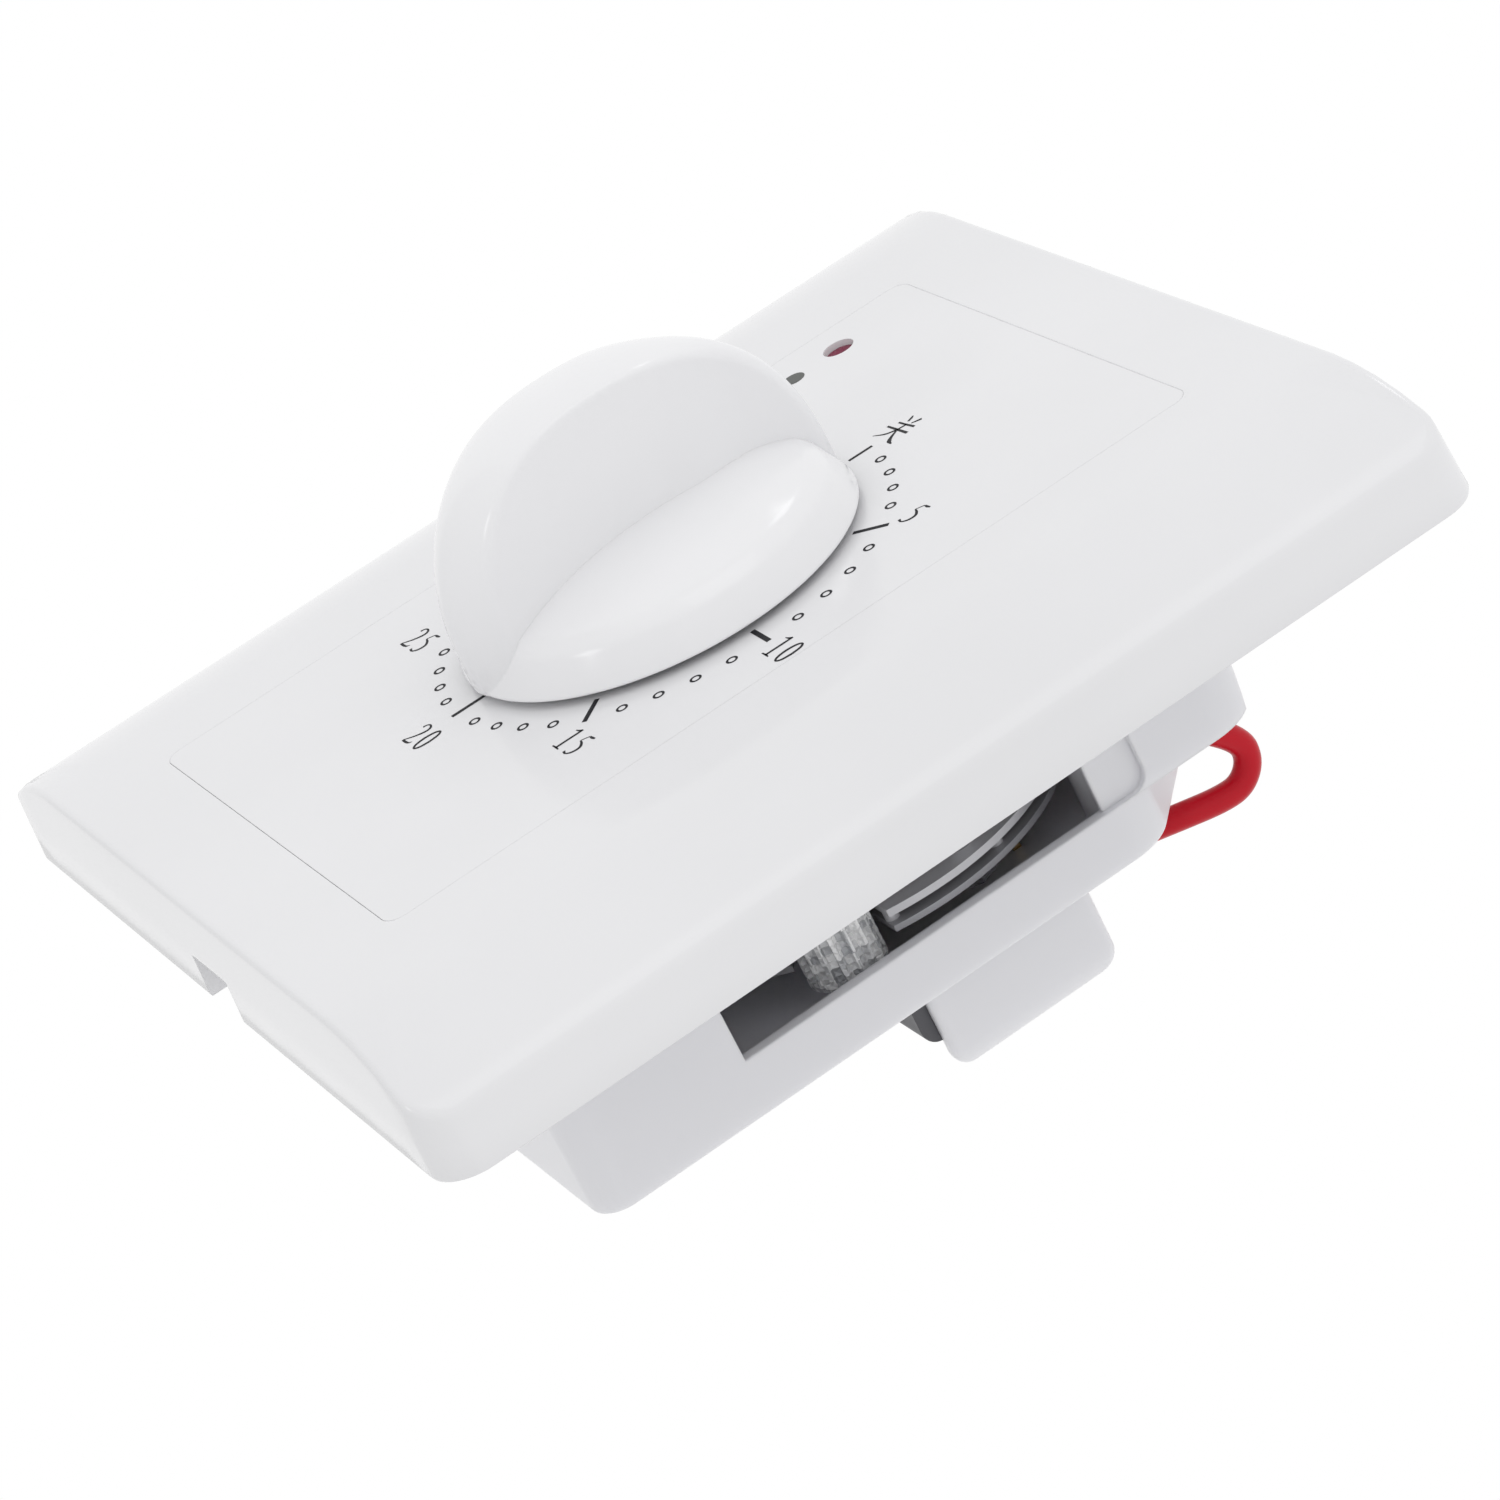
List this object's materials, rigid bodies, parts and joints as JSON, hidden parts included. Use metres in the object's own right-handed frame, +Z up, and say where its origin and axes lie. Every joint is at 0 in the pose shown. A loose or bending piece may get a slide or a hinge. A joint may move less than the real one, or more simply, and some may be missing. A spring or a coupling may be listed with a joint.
{
  "type": "countdown_timer_switch",
  "caption": "Square wall-plate countdown timer switch with a finned turn knob over a minute dial, spring-driven movement, switch contacts and rear terminals in a boxed housing.",
  "frame": {"origin": "Midway between the two fixing holes, on the wall plane, which is also the knob's axis.", "axes": "+X to the right and +Z up the plate as seen from the room, toward the off mark; +Y into the wall."},
  "size_m": [0.086, 0.0563, 0.086],
  "materials": {
    "gloss_white": "high gloss moulded",
    "housing_white": "fine moulded",
    "dark_plastic": "moulded",
    "clear_plastic": "clear",
    "red_lens": "clear red",
    "red_insulation": "extruded",
    "resistor_body": "lacquered",
    "lamp_glass": "clear",
    "brass": "stamped",
    "contact_metal": "plated",
    "steel": "turned",
    "spring_steel": "rolled strip",
    "plated_steel": "zinc plated"
  },
  "bodies": {
    "root": {"front_cover": "gloss_white", "dial_panel": "gloss_white", "indicator_lens": "red_lens", "base_plate": "housing_white", "rear_housing": "housing_white", "mainspring": "spring_steel", "spring_post": "steel", "lamp_lead": "red_insulation", "movement_front_plate": "plated_steel", "movement_rear_plate": "plated_steel", "contact_plate": "plated_steel", "plate_pillars": "steel", "pillar_nuts": "steel", "plate_spacers": "brass", "lever_pivot": "steel", "fixed_contact_blade": "brass", "fixed_contact": "contact_metal", "terminal_cover": "housing_white", "terminal_block": "dark_plastic", "terminal_clamps": "brass", "terminal_screws": "plated_steel", "movement_screws": "plated_steel", "housing_screws": "plated_steel", "lamp": "lamp_glass", "lamp_resistor": "resistor_body"},
    "dial": {"knob": "gloss_white", "knob_hub_ring": "spring_steel", "main_arbor": "steel", "clutch_spring": "spring_steel", "great_wheel": "brass", "switch_cam": "dark_plastic"},
    "second": {"second_arbor": "steel", "second_wheel": "brass"},
    "third": {"third_arbor": "steel", "third_wheel": "brass"},
    "escape": {"escape_arbor": "steel", "escape_wheel": "brass"},
    "balance": {"balance_staff": "steel", "balance_drum": "clear_plastic", "pallet": "steel"},
    "lever": {"contact_lever": "brass", "moving_contact": "contact_metal"}
  },
  "joints": [
    {"name": "dial_turn", "type": "hinge", "parent": "root", "child": "dial", "pos_m": [0, 0, 0], "axis": [0, 1, 0], "range_deg": [0, 270]},
    {"name": "second_turn", "type": "hinge", "parent": "root", "child": "second", "pos_m": [-0.00172, 0, -0.01066], "axis": [0, 1, 0], "range_deg": [-2160, 0]},
    {"name": "third_turn", "type": "hinge", "parent": "root", "child": "third", "pos_m": [0.00528, 0, -0.01078], "axis": [0, 1, 0], "range_deg": [0, 12960]},
    {"name": "escape_turn", "type": "hinge", "parent": "root", "child": "escape", "pos_m": [0.00921, 0, -0.00769], "axis": [0, 1, 0], "range_deg": [-51840, 0]},
    {"name": "balance_swing", "type": "hinge", "parent": "root", "child": "balance", "pos_m": [0.0153, 0, -0.0049], "axis": [0, 1, 0], "range_deg": [-20, 20]},
    {"name": "lever_lift", "type": "hinge", "parent": "root", "child": "lever", "pos_m": [-0.0086, 0, 0.0062], "axis": [0, -1, 0], "range_deg": [0, 4.3]}
  ],
  "couplings": [
    {"joint": "second_turn", "follows": "dial_turn", "ratio": -8},
    {"joint": "third_turn", "follows": "dial_turn", "ratio": 48},
    {"joint": "escape_turn", "follows": "dial_turn", "ratio": -192},
    {"joint": "lever_lift", "follows": "dial_turn", "ratio": 0.0155}
  ]
}
